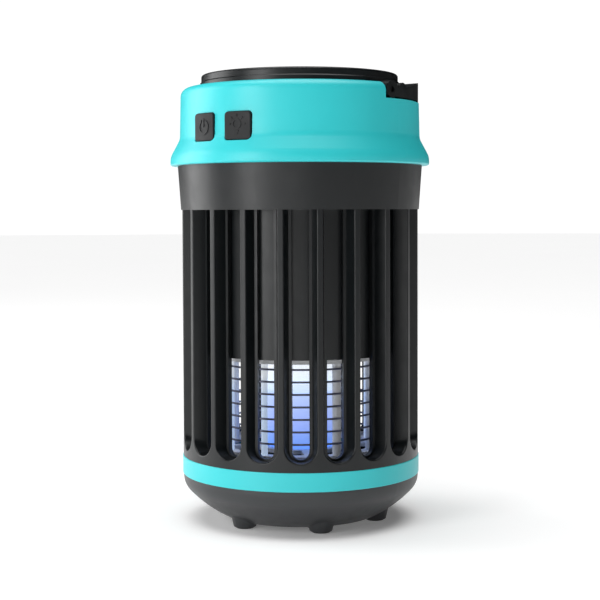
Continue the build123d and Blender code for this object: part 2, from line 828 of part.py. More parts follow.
def button_cap(centre_x, icon):
    """A key with a face that follows the collar, retaining ears behind it and a stem to its switch."""
    with BuildPart() as cap:
        with BuildSketch(front_plane.offset(-ear_back_y)):
            with Locations((centre_x, button_z)):
                RectangleRounded(button_width, button_height, button_corner)
        extrude(amount=10)
        with BuildSketch(Plane.XY.offset(button_z)):
            Circle(button_face_r)
        extrude(amount=button_height, both=True, mode=Mode.INTERSECT)
        fillet(
            cap.edges().filter_by(lambda edge: hypot((edge @ 0.5).X, (edge @ 0.5).Y) > button_face_r - 0.01),
            radius=key_edge,
        )
        with BuildSketch(front_plane.offset(-ear_back_y)):
            with Locations((centre_x, button_z)):
                Rectangle(button_width + 2 * ear_lap, button_height - 2 * ear_trim)
        extrude(amount=ear_back_y - ear_front_y)
        with BuildSketch(front_plane.offset(-stem_end_y)):
            with Locations((centre_x, button_z)):
                Circle(stem_r)
        extrude(amount=stem_end_y - ear_back_y + ear_trim)
        add(icon)
        with BuildSketch(Plane.XY.offset(button_z)):
            Circle(button_face_r + icon_height)
        extrude(amount=button_height, both=True, mode=Mode.INTERSECT)
    return cap.part


with BuildPart() as power_button:
    add(button_cap(-button_x, power_icon.part))
power_button.part.label = "power_button"
export_step(power_button.part, "parts/power_button.step")

with BuildPart() as light_button:
    add(button_cap(button_x, light_icon.part))
light_button.part.label = "light_button"
export_step(light_button.part, "parts/light_button.step")

with BuildPart() as power_plunger:
    with BuildSketch(front_plane.offset(-plunger_inner_y)):
        with Locations((-button_x, button_z)):
            Circle(plunger_r)
    extrude(amount=plunger_inner_y - stem_end_y)
power_plunger.part.label = "power_plunger"
export_step(power_plunger.part, "parts/power_plunger.step")

with BuildPart() as light_plunger:
    with BuildSketch(front_plane.offset(-plunger_inner_y)):
        with Locations((button_x, button_z)):
            Circle(plunger_r)
    extrude(amount=plunger_inner_y - stem_end_y)
light_plunger.part.label = "light_plunger"
export_step(light_plunger.part, "parts/light_plunger.step")

with BuildPart() as switch_bodies:
    with BuildSketch(front_plane.offset(-board_face_y)):
        with Locations((-button_x, button_z), (button_x, button_z)):
            Rectangle(switch_size, switch_size)
    extrude(amount=board_face_y - switch_face_y)
    with BuildSketch(front_plane.offset(-switch_face_y)):
        with Locations((-button_x, button_z), (button_x, button_z)):
            Circle(plunger_r + switch_bore_gap)
    extrude(amount=-switch_bore_depth, mode=Mode.SUBTRACT)
switch_bodies.part.label = "switch_bodies"
export_step(switch_bodies.part, "parts/switch_bodies.step")

with BuildPart() as button_board:
    with BuildSketch(front_plane.offset(-board_face_y)):
        with Locations((0, board_z)):
            Rectangle(board_width, board_height)
        with Locations((-board_post_x, button_z), (board_post_x, button_z)):
            Circle(board_shank_r + screw_clearance, mode=Mode.SUBTRACT)
    extrude(amount=-board_thickness)
button_board.part.label = "button_board"
export_step(button_board.part, "parts/button_board.step")

board_screw = pan_screw(1.5, 1.1, board_shank_r, board_thickness + 4.0)
with BuildPart() as board_screws:
    with Locations(
        Location((-board_post_x, board_face_y + board_thickness, button_z), (90, 0, 0)),
        Location((board_post_x, board_face_y + board_thickness, button_z), (90, 0, 0)),
    ):
        add(board_screw)
board_screws.part.label = "board_screws"
export_step(board_screws.part, "parts/board_screws.step")

# ---------------------------------------------------------------- charging socket and its hinged cover
usb_board_z = usb_z - 3.2
usb_shell_width = 9.0
usb_shell_height = 3.2
usb_shell_depth = 7.4
usb_cover_inner_r = 40.9
usb_cover_outer_r = 42.2
usb_cover_half = 6.3
usb_cover_bottom_z = 133.0
usb_cover_top_z = 141.4
usb_plug_width = 9.8
usb_plug_height = 4.4
usb_plug_y = 39.9
usb_plug_corner = 1.2
usb_plug_depth = 1.5
usb_shell_corner = 1.4
usb_shell_wall = 0.35
usb_shell_y = 31.9
usb_mouth_y = 33.0
usb_tongue = (6.6, 0.7)
usb_leg = (1.6, 2.4)
usb_leg_x = 3.2
usb_leg_y = 34.0
usb_board_size = (16.0, 14.4)
usb_board_y = 31.4
usb_board_thickness = 1.6
usb_grip = (6.0, 1.4, 1.3)
usb_grip_lap = 0.4

with BuildPart() as usb_socket:
    with BuildSketch(Plane.XZ.offset(-usb_shell_y)):
        with Locations((0, usb_z)):
            RectangleRounded(usb_shell_width, usb_shell_height, usb_shell_corner)
    extrude(amount=-usb_shell_depth)
    with BuildSketch(Plane.XZ.offset(-usb_mouth_y)):
        with Locations((0, usb_z)):
            RectangleRounded(
                usb_shell_width - 2 * usb_shell_wall,
                usb_shell_height - 2 * usb_shell_wall,
                usb_shell_corner - usb_shell_wall,
            )
            Rectangle(*usb_tongue, mode=Mode.SUBTRACT)
    extrude(amount=-usb_shell_depth, mode=Mode.SUBTRACT)
    with BuildSketch(Plane.XY.offset(usb_board_z + usb_board_thickness / 2)):
        with Locations((-usb_leg_x, usb_leg_y), (usb_leg_x, usb_leg_y)):
            Rectangle(*usb_leg)
    extrude(amount=usb_z - usb_board_z - (usb_board_thickness + usb_shell_height) / 2 + usb_shell_wall / 2)
usb_socket.part.label = "usb_socket"
export_step(usb_socket.part, "parts/usb_socket.step")

with BuildPart() as usb_board:
    with BuildSketch(Plane.XY.offset(usb_board_z - usb_board_thickness / 2)):
        with Locations((0, usb_board_y)):
            Rectangle(*usb_board_size)
    extrude(amount=usb_board_thickness)
usb_board.part.label = "usb_board"
export_step(usb_board.part, "parts/usb_board.step")

with BuildPart() as usb_cover:
    with BuildSketch(Plane.XY.offset(usb_cover_bottom_z)):
        Circle(usb_cover_outer_r)
        Circle(usb_cover_inner_r, mode=Mode.SUBTRACT)
        Rectangle(2 * usb_cover_half, cut_width / 2, align=(Align.CENTER, Align.MIN), mode=Mode.INTERSECT)
    extrude(amount=usb_cover_top_z - usb_cover_bottom_z)
    with BuildSketch(Plane.XZ.offset(-usb_plug_y)):
        with Locations((0, usb_z)):
            RectangleRounded(usb_plug_width, usb_plug_height, usb_plug_corner)
    extrude(amount=-usb_plug_depth)
    with Locations((0, usb_cover_outer_r - usb_grip_lap, usb_cover_top_z)):
        Box(*usb_grip, align=(Align.CENTER, Align.MIN, Align.MAX))
    with BuildSketch(Plane.YZ):
        with Locations((usb_pin_y, usb_pin_z)):
            Circle(usb_barrel_r)
    extrude(amount=usb_ear_x - usb_ear_lap, both=True)
    with BuildSketch(Plane.YZ):
        with Locations((usb_pin_y, usb_pin_z)):
            Circle(usb_pin_r + pin_clearance)
    extrude(amount=usb_ear_x, both=True, mode=Mode.SUBTRACT)
usb_cover.part.label = "usb_cover"
export_step(usb_cover.part, "parts/usb_cover.step")

with BuildPart() as usb_cover_pin:
    with BuildSketch(Plane.YZ):
        with Locations((usb_pin_y, usb_pin_z)):
            Circle(usb_pin_r)
    extrude(amount=usb_ear_x + usb_ear_width, both=True)
usb_cover_pin.part.label = "usb_cover_pin"
export_step(usb_cover_pin.part, "parts/usb_cover_pin.step")

# ---------------------------------------------------------------- main board, its components and the battery
main_board_y = -8.0
main_board_width = 46.0
main_board_bottom_z = 62.0
main_board_top_z = 110.0
main_board_thickness = 1.6
battery_y = 10.0
battery_r = 9.2
battery_bottom_z = 64.0
battery_length = 65.0
holder_wall = 1.4
holder_gap = 0.2
holder_cut = 30.0
holder_plate = 1.5
battery_nub_r = 3.0
battery_nub = 1.0
battery_edge = 0.6
contact_size = 8.0
contact_thickness = 0.5
spring_r = 3.6
spring_wire = 1.0

with BuildPart() as main_board:
    with Locations((0, main_board_y, main_board_bottom_z)):
        Box(
            main_board_width,
            main_board_thickness,
            main_board_top_z - main_board_bottom_z,
            align=(Align.CENTER, Align.CENTER, Align.MIN),
        )
main_board.part.label = "main_board"
export_step(main_board.part, "parts/main_board.step")

component_y = main_board_y - main_board_thickness / 2
holder_bottom_z = core_bottom_z + core_floor
holder_top_z = battery_bottom_z + battery_length + contact_thickness + holder_plate

transformer_x = -8.0
transformer_z = 81.0
flange_size = (13.0, 9.0, 3.0)
winding_size = (11.5, 7.5, 11.4)
flange_pitch = 14.0
capacitor_place = (11.0, component_y, 80.0)
capacitor_size = (7.0, 6.0, 15.0)
capacitor_round = 1.2
chip_place = (4.0, component_y, 102.0)
chip_size = (5.0, 1.5, 6.2)
on_board = (Align.CENTER, Align.MAX, Align.CENTER)

with BuildPart() as transformer:
    for side in (-1, 1):
        with Locations((transformer_x, component_y, transformer_z + side * flange_pitch / 2)):
            Box(*flange_size, align=on_board)
    with Locations((transformer_x, component_y, transformer_z)):
        Box(*winding_size, align=on_board)
transformer.part.label = "transformer"
export_step(transformer.part, "parts/transformer.step")

with BuildPart() as hv_capacitor:
    with Locations(capacitor_place):
        Box(*capacitor_size, align=on_board)
    fillet(hv_capacitor.edges().filter_by(Axis.Y), radius=capacitor_round)
hv_capacitor.part.label = "hv_capacitor"
export_step(hv_capacitor.part, "parts/hv_capacitor.step")

with BuildPart() as controller_chip:
    with Locations(chip_place):
        Box(*chip_size, align=on_board)
controller_chip.part.label = "controller_chip"
export_step(controller_chip.part, "parts/controller_chip.step")

with BuildPart() as battery_cell:
    with BuildSketch(Plane.XY.offset(battery_bottom_z)):
        with Locations((0, battery_y)):
            Circle(battery_r)
    extrude(amount=battery_length - battery_nub)
    fillet(battery_cell.edges(), radius=battery_edge)
    with BuildSketch(Plane.XY.offset(battery_bottom_z + battery_length - battery_nub)):
        with Locations((0, battery_y)):
            Circle(battery_nub_r)
    extrude(amount=battery_nub)
battery_cell.part.label = "battery_cell"
export_step(battery_cell.part, "parts/battery_cell.step")

with BuildPart() as battery_holder:
    with BuildSketch(Plane.XY.offset(core_bottom_z + core_floor)):
        with Locations((0, battery_y)):
            Circle(battery_r + holder_gap + holder_wall)
            Circle(battery_r + holder_gap, mode=Mode.SUBTRACT)
            Rectangle(holder_cut, holder_cut, align=(Align.CENTER, Align.MIN), mode=Mode.SUBTRACT)
    extrude(amount=holder_top_z - holder_bottom_z)
    for plate_z in (holder_bottom_z, holder_top_z - holder_plate):
        with BuildSketch(Plane.XY.offset(plate_z)):
            with Locations((0, battery_y)):
                Circle(battery_r + holder_gap + holder_wall)
        extrude(amount=holder_plate)
battery_holder.part.label = "battery_holder"
export_step(battery_holder.part, "parts/battery_holder.step")

with BuildPart() as battery_contacts:
    with BuildSketch(Plane.XY.offset(battery_bottom_z + battery_length)):
        with Locations((0, battery_y)):
            Rectangle(contact_size, contact_size)
    extrude(amount=contact_thickness)
    with BuildSketch(Plane.XY.offset(holder_bottom_z + holder_plate)):
        with Locations((0, battery_y)):
            Circle(spring_r)
            Circle(spring_r - spring_wire, mode=Mode.SUBTRACT)
    extrude(amount=battery_bottom_z - holder_bottom_z - holder_plate)
battery_contacts.part.label = "battery_contacts"
export_step(battery_contacts.part, "parts/battery_contacts.step")

# ---------------------------------------------------------------- UV lamp
holder_r = 11.5
tube_fit = 0.1
holder_flange_r = 13.6
holder_flange_z = 45.0
holder_flange_height = 2.8
tube_r = 12.5
tube_wall = 1.2
tube_bottom_z = 24.6
tube_round = 3.0
strip_width = 9.0
strip_thickness = 1.2
uv_led_rows = 7
uv_led_pitch = 2.7
uv_led_width = 2.8
uv_led_height = 1.8
uv_led_depth = 0.8
uv_led_x = 2.3
uv_led_start = 4.4
strip_start = 2.4
strip_slot = 0.2
holder_wall_thickness = 1.6
holder_roof = 2.0
holder_lip = 0.5

with BuildPart() as uv_lamp_holder:
    with BuildSketch(Plane.XY.offset(holder_flange_z)):
        Circle(holder_flange_r)
    extrude(amount=holder_flange_height)
    with BuildSketch(Plane.XY.offset(holder_flange_z + holder_flange_height)):
        Circle(holder_r)
    extrude(amount=core_bottom_z - holder_flange_z - holder_flange_height)
    with BuildSketch(Plane.XY.offset(core_bottom_z)):
        Circle(lamp_socket_r - tube_fit)
    extrude(amount=core_floor)
    with BuildSketch(Plane.XY.offset(holder_flange_z)):
        Circle(holder_r - holder_wall_thickness)
    extrude(amount=core_bottom_z - holder_flange_z - holder_roof, mode=Mode.SUBTRACT)
    with BuildSketch(Plane.XY.offset(core_bottom_z - holder_roof)):
        Rectangle(strip_width + strip_slot, strip_thickness + strip_slot)
    extrude(amount=core_floor + holder_roof, mode=Mode.SUBTRACT)
    fillet(
        uv_lamp_holder.edges().filter_by(
            lambda edge: edge.geom_type == GeomType.CIRCLE and edge.radius > holder_flange_r - 0.01
        ),
        radius=holder_lip,
    )
uv_lamp_holder.part.label = "uv_lamp_holder"
export_step(uv_lamp_holder.part, "parts/uv_lamp_holder.step")

with BuildPart() as uv_tube:
    with BuildSketch(Plane.XY.offset(tube_bottom_z)):
        Circle(tube_r)
    extrude(amount=holder_flange_z - tube_bottom_z)
    fillet(uv_tube.faces().sort_by(Axis.Z)[0].edges(), radius=tube_round)
    with BuildSketch(Plane.XY.offset(tube_bottom_z + tube_wall)):
        Circle(tube_r - tube_wall)
    extrude(amount=holder_flange_z - tube_bottom_z, mode=Mode.SUBTRACT)
uv_tube.part.label = "uv_tube"
export_step(uv_tube.part, "parts/uv_tube.step")

with BuildPart() as uv_led_board:
    with Locations((0, 0, tube_bottom_z + strip_start)):
        Box(
            strip_width,
            strip_thickness,
            core_bottom_z + core_floor - tube_bottom_z - strip_start,
            align=(Align.CENTER, Align.CENTER, Align.MIN),
        )
uv_led_board.part.label = "uv_led_board"
export_step(uv_led_board.part, "parts/uv_led_board.step")

with BuildPart() as uv_leds:
    for row in range(uv_led_rows):
        row_z = tube_bottom_z + uv_led_start + uv_led_pitch * row
        for side in (-1, 1):
            for column in (-1, 1):
                with Locations((column * uv_led_x, side * (strip_thickness + uv_led_depth) / 2, row_z)):
                    Box(uv_led_width, uv_led_depth, uv_led_height)
uv_leds.part.label = "uv_leds"
export_step(uv_leds.part, "parts/uv_leds.step")

# ---------------------------------------------------------------- shock grid
post_count = 10
grid_post_r = 1.5
grid_pitch_r = 26.5
grid_rim_in_r = 24.6
grid_rim_out_r = 28.6
wire_r = 0.35
wire_ring_r = grid_pitch_r + grid_post_r
first_wire_z = 29.5
wire_pitch = 4.15
wire_count = 7
base_z = ring_top_z + ledge_thickness
base_thickness = 1.4
base_top_z = base_z + base_thickness
base_rim_width = 2.6
spoke_width = 3.0
grid_rim_height = 2.0
base_out_r = 34.7
hub_r = 15.0
hub_bore_r = 10.5

with BuildPart() as grid_wires_live:
    for turn in range(0, wire_count, 2):
        with Locations((0, 0, first_wire_z + wire_pitch * turn)):
            Torus(wire_ring_r, wire_r)
grid_wires_live.part.label = "grid_wires_live"
export_step(grid_wires_live.part, "parts/grid_wires_live.step")

with BuildPart() as grid_wires_return:
    for turn in range(1, wire_count, 2):
        with Locations((0, 0, first_wire_z + wire_pitch * turn)):
            Torus(wire_ring_r, wire_r)
grid_wires_return.part.label = "grid_wires_return"
export_step(grid_wires_return.part, "parts/grid_wires_return.step")

with BuildPart() as grid_frame:
    with BuildSketch(Plane.XY.offset(base_top_z)):
        with PolarLocations(grid_pitch_r, post_count, start_angle=rib_bearing):
            Circle(grid_post_r)
    extrude(amount=core_bottom_z - base_top_z)
    with BuildSketch(Plane.XY.offset(core_bottom_z - grid_rim_height)):
        Circle(grid_rim_out_r)
        Circle(grid_rim_in_r, mode=Mode.SUBTRACT)
    extrude(amount=grid_rim_height)
    for turn in range(wire_count):
        with Locations((0, 0, first_wire_z + wire_pitch * turn)):
            Torus(wire_ring_r, wire_r, mode=Mode.SUBTRACT)
grid_frame.part.label = "grid_frame"
export_step(grid_frame.part, "parts/grid_frame.step")

with BuildPart() as grid_base:
    with BuildSketch(Plane.XY.offset(base_z)):
        Circle(base_out_r)
        Circle(base_out_r - base_rim_width, mode=Mode.SUBTRACT)
        Circle(grid_rim_out_r)
        Circle(grid_rim_in_r, mode=Mode.SUBTRACT)
        with PolarLocations(hub_r - 1, 4, start_angle=45):
            Rectangle(base_out_r - hub_r, spoke_width, align=(Align.MIN, Align.CENTER))
        Circle(hub_r)
        Circle(hub_bore_r, mode=Mode.SUBTRACT)
    extrude(amount=base_thickness)
    with BuildSketch(Plane.XY.offset(tube_bottom_z)):
        Circle(tube_r + tube_fit)
    extrude(amount=base_thickness, mode=Mode.SUBTRACT)
grid_base.part.label = "grid_base"
export_step(grid_base.part, "parts/grid_base.step")
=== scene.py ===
import math

import bmesh
import bpy
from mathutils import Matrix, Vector


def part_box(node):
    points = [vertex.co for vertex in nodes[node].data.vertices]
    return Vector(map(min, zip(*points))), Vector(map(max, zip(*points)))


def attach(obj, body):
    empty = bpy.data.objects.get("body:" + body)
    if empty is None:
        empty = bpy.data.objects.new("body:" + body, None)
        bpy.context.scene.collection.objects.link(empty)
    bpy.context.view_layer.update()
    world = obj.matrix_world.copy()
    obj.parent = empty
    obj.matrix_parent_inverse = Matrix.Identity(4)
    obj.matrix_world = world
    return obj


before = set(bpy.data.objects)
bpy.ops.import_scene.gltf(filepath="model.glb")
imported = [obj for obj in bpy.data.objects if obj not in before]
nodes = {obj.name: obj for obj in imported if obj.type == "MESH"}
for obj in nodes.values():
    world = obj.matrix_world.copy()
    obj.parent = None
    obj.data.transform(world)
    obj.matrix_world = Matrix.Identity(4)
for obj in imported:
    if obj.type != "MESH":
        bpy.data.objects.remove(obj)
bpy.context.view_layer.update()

# Camera, in metres and degrees
CAMERA_BEARING = 38.6
CAMERA_DISTANCE = 0.486
CAMERA_HEIGHT = 0.1071
CAMERA_PITCH = 1.9
CAMERA_ROLL = 0.2
CAMERA_LENS = 83.3
CAMERA_SHIFT = 0.072
CAMERA_NEAR = 0.01
SENSOR_WIDTH = 36.0

# White rods added to the shock grid, in metres and degrees
STIFFENER_COUNT = 10
FIRST_STIFFENER = 11.6
STIFFENER_RADIUS = 0.0011
STIFFENER_GAP = 0.0002
STIFFENER_SIDES = 20
STIFFENER_BEVEL = 0.0003
WIRE_RADIUS = 0.00035
GRID_RIM_HEIGHT = 0.002

# Floor, in metres, and the light it gives off, which keeps it white up to the backdrop
FLOOR_RADIUS = 6.0
FLOOR_SEGMENTS = 64
FLOOR_NOISE = 3
FLOOR_ROUGHNESS = 0.9
FLOOR_LIFT = 0.14

# Height that the soft boxes aim at, in metres
LIGHT_AIM = 0.08

# Background strengths: what the camera sees, and what lights the object
BACKDROP_LEVEL = 1.05
SURROUND_LEVEL = 0.0

# The part of a noise texture's range that its values mostly fill
NOISE_LOW = 0.3
NOISE_HIGH = 0.7

# Colour sockets of the Mix node
MIX_FIRST, MIX_SECOND, MIX_RESULT = 6, 7, 2

# Texture scales, per metre, and bump depths, in metres
MOTTLE_SCALE = 60
GLOSS_SCALE = 260
PLASTIC_GRAIN_DEPTH = 0.00004
METAL_LINE_SCALE = 900
METAL_LINE_BUMP = 0.08
METAL_LINE_DEPTH = 0.00003
GLOW_GLOSS_SCALE = 400
GLOW_GRAIN_SCALE = 1800
GLOW_GRAIN = 0.1
GLOW_ROUGHNESS = (0.35, 0.45)
LENS_MOTTLE_SCALE = 80
LENS_GLOSS_SCALE = 500
LENS_ROUGHNESS = (0.28, 0.4)
LENS_TRANSMISSION = 0.55
LENS_IOR = 1.45
LENS_RING_SCALE = 190
LENS_RING_BUMP = 0.35
LENS_RING_DEPTH = 0.0003


# ---------------------------------------------------------------- node helpers
def new_material(name):
    """An empty node material with its output and a Principled shader."""
    material = bpy.data.materials.new(name)
    material.use_nodes = True
    tree = material.node_tree
    tree.nodes.clear()
    output = tree.nodes.new("ShaderNodeOutputMaterial")
    shader = tree.nodes.new("ShaderNodeBsdfPrincipled")
    tree.links.new(shader.outputs["BSDF"], output.inputs["Surface"])
    return material, tree, shader


def noise(tree, scale, detail=3.0, stretch=(1, 1, 1)):
    """A noise texture in the object's own metres."""
    coords = tree.nodes.new("ShaderNodeTexCoord")
    mapping = tree.nodes.new("ShaderNodeMapping")
    mapping.inputs["Scale"].default_value = stretch
    texture = tree.nodes.new("ShaderNodeTexNoise")
    texture.inputs["Scale"].default_value = scale
    texture.inputs["Detail"].default_value = detail
    tree.links.new(coords.outputs["Object"], mapping.inputs["Vector"])
    tree.links.new(mapping.outputs["Vector"], texture.inputs["Vector"])
    return texture.outputs["Fac"]


def spread(tree, factor, low, high):
    """Maps a 0 to 1 factor onto low to high."""
    node = tree.nodes.new("ShaderNodeMapRange")
    node.inputs["From Min"].default_value = NOISE_LOW
    node.inputs["From Max"].default_value = NOISE_HIGH
    node.inputs["To Min"].default_value = low
    node.inputs["To Max"].default_value = high
    tree.links.new(factor, node.inputs["Value"])
    return node.outputs["Result"]


def two_tone(tree, factor, dark, light):
    """Mixes two colours by a factor."""
    node = tree.nodes.new("ShaderNodeMix")
    node.data_type = "RGBA"
    node.inputs[MIX_FIRST].default_value = (*dark, 1)
    node.inputs[MIX_SECOND].default_value = (*light, 1)
    tree.links.new(factor, node.inputs[0])
    return node.outputs[MIX_RESULT]


def bump(tree, shader, factor, strength, distance):
    """Bumps the shader's normal by a factor."""
    node = tree.nodes.new("ShaderNodeBump")
    node.inputs["Strength"].default_value = strength
    node.inputs["Distance"].default_value = distance
    tree.links.new(factor, node.inputs["Height"])
    tree.links.new(node.outputs["Normal"], shader.inputs["Normal"])


def moulded(name, dark, light, roughness, grain_scale=2600, grain=0.12, specular=0.5):
    """Moulded plastic or rubber: faint flow mottling, uneven gloss and a fine tool-texture grain."""
    material, tree, shader = new_material(name)
    mottle = noise(tree, MOTTLE_SCALE)
    tree.links.new(two_tone(tree, mottle, dark, light), shader.inputs["Base Color"])
    gloss = noise(tree, GLOSS_SCALE, 4)
    tree.links.new(spread(tree, gloss, *roughness), shader.inputs["Roughness"])
    bump(tree, shader, noise(tree, grain_scale, 2), grain, PLASTIC_GRAIN_DEPTH)
    shader.inputs["Specular IOR Level"].default_value = specular
    return material


def metal(name, dark, light, roughness, stretch=(1, 1, 12)):
    """Drawn or brushed metal with fine lines along one axis."""
    material, tree, shader = new_material(name)
    lines = noise(tree, METAL_LINE_SCALE, 3, stretch)
    tree.links.new(two_tone(tree, lines, dark, light), shader.inputs["Base Color"])
    tree.links.new(spread(tree, lines, *roughness), shader.inputs["Roughness"])
    shader.inputs["Metallic"].default_value = 1.0
    bump(tree, shader, lines, METAL_LINE_BUMP, METAL_LINE_DEPTH)
    return material


def glowing(name, stops, low_z, high_z, strength):
    """A glowing surface whose glow changes with height between low_z and high_z: a lamp's lit diffuser, or
    painted glow on a part that is no lamp.
    """
    material, tree, shader = new_material(name)
    coords = tree.nodes.new("ShaderNodeTexCoord")
    split = tree.nodes.new("ShaderNodeSeparateXYZ")
    tree.links.new(coords.outputs["Object"], split.inputs["Vector"])
    height = tree.nodes.new("ShaderNodeMapRange")
    height.inputs["From Min"].default_value = low_z
    height.inputs["From Max"].default_value = high_z
    tree.links.new(split.outputs["Z"], height.inputs["Value"])
    ramp = tree.nodes.new("ShaderNodeValToRGB")
    ramp.color_ramp.elements[0].position = stops[0][0]
    ramp.color_ramp.elements[0].color = (*stops[0][1], 1)
    ramp.color_ramp.elements[1].position = stops[-1][0]
    ramp.color_ramp.elements[1].color = (*stops[-1][1], 1)
    for position, colour in stops[1:-1]:
        ramp.color_ramp.elements.new(position).color = (*colour, 1)
    tree.links.new(height.outputs["Result"], ramp.inputs["Fac"])
    tree.links.new(ramp.outputs["Color"], shader.inputs["Emission Color"])
    tree.links.new(ramp.outputs["Color"], shader.inputs["Base Color"])
    shader.inputs["Emission Strength"].default_value = strength
    gloss = noise(tree, GLOW_GLOSS_SCALE)
    tree.links.new(spread(tree, gloss, *GLOW_ROUGHNESS), shader.inputs["Roughness"])
    bump(tree, shader, noise(tree, GLOW_GRAIN_SCALE, 2), GLOW_GRAIN, PLASTIC_GRAIN_DEPTH)
    return material


# ---------------------------------------------------------------- materials
teal = moulded("teal_plastic", (0.032, 0.60, 0.635), (0.038, 0.63, 0.67), (0.36, 0.42), 2200, 0.05)
# The black plastic's near-black colours carry a faint blue-teal tint, which is painted reflection.
black = moulded(
    "black_plastic", (0.0036, 0.0050, 0.0058), (0.0048, 0.0064, 0.0074), (0.31, 0.38), 2600, 0.16, 0.42
)
# The tray's dark plastic is painted several times lighter than the black plastic: painted light standing in
# for the floor's bounce on its downward faces.
tray_painted_bounce = moulded("tray_plastic_painted_bounce", (0.028, 0.030, 0.032), (0.034, 0.036, 0.039), (0.36, 0.44), 2400, 0.25)
key_black = moulded(
    "key_rubber", (0.007, 0.008, 0.009), (0.010, 0.011, 0.012), (0.48, 0.58), 3000, 0.2, 0.32
)
foot_black = moulded("foot_rubber", (0.008, 0.008, 0.009), (0.014, 0.014, 0.015), (0.55, 0.7), 2200, 0.3)
seal_black = moulded("seal_rubber", (0.02, 0.02, 0.02), (0.03, 0.03, 0.03), (0.55, 0.65))
white = moulded("white_plastic", (0.80, 0.81, 0.84), (0.86, 0.87, 0.90), (0.32, 0.42), 2400, 0.08)
board = moulded("board_green", (0.010, 0.10, 0.04), (0.02, 0.16, 0.07), (0.3, 0.42), 900, 0.3)
component = moulded("component_dark", (0.02, 0.02, 0.02), (0.035, 0.035, 0.035), (0.45, 0.6))
tape = moulded("transformer_tape", (0.55, 0.42, 0.08), (0.66, 0.52, 0.12), (0.3, 0.4))
capacitor = moulded("capacitor_red", (0.42, 0.04, 0.03), (0.52, 0.06, 0.04), (0.2, 0.3))
phosphor = moulded("led_phosphor", (0.85, 0.74, 0.32), (0.92, 0.82, 0.42), (0.25, 0.35))
sleeve = moulded("cell_sleeve", (0.04, 0.18, 0.42), (0.06, 0.22, 0.50), (0.2, 0.3))
mirror_white = moulded("reflector", (0.84, 0.85, 0.86), (0.90, 0.90, 0.91), (0.12, 0.2), 1200, 0.04)
steel = metal("steel", (0.50, 0.50, 0.51), (0.66, 0.66, 0.67), (0.22, 0.34))
wire_steel = metal("grid_wire", (0.16, 0.17, 0.24), (0.26, 0.27, 0.36), (0.35, 0.5), (3, 3, 1))
dark_steel = metal("dark_steel", (0.02, 0.02, 0.021), (0.035, 0.035, 0.037), (0.35, 0.45), (1, 1, 1))
zinc = metal("screw_zinc", (0.42, 0.42, 0.42), (0.56, 0.56, 0.56), (0.3, 0.42), (1, 1, 1))


def frosted_lens():
    """Frosted polycarbonate with fine concentric prisms."""
    material, tree, shader = new_material("frosted_lens")
    shade = two_tone(tree, noise(tree, LENS_MOTTLE_SCALE), (0.84, 0.86, 0.87), (0.90, 0.91, 0.92))
    tree.links.new(shade, shader.inputs["Base Color"])
    gloss = noise(tree, LENS_GLOSS_SCALE)
    tree.links.new(spread(tree, gloss, *LENS_ROUGHNESS), shader.inputs["Roughness"])
    shader.inputs["Transmission Weight"].default_value = LENS_TRANSMISSION
    shader.inputs["IOR"].default_value = LENS_IOR
    coords = tree.nodes.new("ShaderNodeTexCoord")
    rings = tree.nodes.new("ShaderNodeTexWave")
    rings.wave_type = "RINGS"
    rings.rings_direction = "Z"
    rings.inputs["Scale"].default_value = LENS_RING_SCALE
    tree.links.new(coords.outputs["Object"], rings.inputs["Vector"])
    bump(tree, shader, rings.outputs["Fac"], LENS_RING_BUMP, LENS_RING_DEPTH)
    return material


lens = frosted_lens()

tube_low, tube_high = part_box("uv_tube")
azure, violet, pale = (0.12, 0.29, 0.80), (0.28, 0.38, 0.80), (0.42, 0.52, 0.76)
tube_glow = glowing("uv_diffuser", [(0.0, azure), (0.45, violet), (1.0, pale)], tube_low.z, tube_high.z, 0.9)
led_glow = glowing("uv_led", [(0.0, azure), (1.0, violet)], tube_low.z, tube_high.z, 3.0)
# The lamp holder is white plastic with painted glow: emission and a bluish-to-white ramp by height stand in
# for the UV tube's light falling on it.
holder_low, holder_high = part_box("uv_lamp_holder")
painted_glow_ramp = [(0.0, (0.50, 0.62, 0.80)), (0.5, (0.68, 0.72, 0.76)), (1.0, (0.66, 0.68, 0.70))]
holder_painted_glow = glowing("painted_glow_holder", painted_glow_ramp, holder_low.z, holder_high.z, 1.0)
# The grid rods get a weaker painted glow of the same kind.
rod_painted_glow = glowing("painted_glow_rod", painted_glow_ramp, holder_low.z, holder_high.z, 0.55)

finishes = {
    teal: ["top_collar", "bottom_ring"],
    black: ["lamp_bezel", "bail_handle", "upper_housing", "core_housing", "cage"],
    tray_painted_bounce: ["insect_tray"],
    foot_black: ["rubber_feet"],
    seal_black: ["tray_seal", "collar_seal", "lens_gasket"],
    key_black: ["power_button", "light_button", "usb_cover"],
    lens: ["lamp_lens"],
    mirror_white: ["lamp_reflector"],
    board: ["lamp_led_board", "button_board", "main_board", "usb_board", "uv_led_board"],
    phosphor: ["lamp_leds"],
    steel: ["battery_contacts", "usb_socket", "usb_cover_pin"],
    dark_steel: ["bail_pins"],
    component: ["power_plunger", "light_plunger", "switch_bodies", "controller_chip", "battery_holder"],
    zinc: ["board_screws", "body_screws", "collar_screws", "bezel_screws", "ring_screws"],
    tape: ["transformer"],
    capacitor: ["hv_capacitor"],
    sleeve: ["battery_cell"],
    white: ["grid_frame", "grid_base"],
    # painted glow on the white holder, standing in for the tube's light
    holder_painted_glow: ["uv_lamp_holder"],
    wire_steel: ["grid_wires_live", "grid_wires_return"],
    tube_glow: ["uv_tube"],
    led_glow: ["uv_leds"],
}
for material, names in finishes.items():
    for name in names:
        nodes[name].data.materials.clear()
        nodes[name].data.materials.append(material)


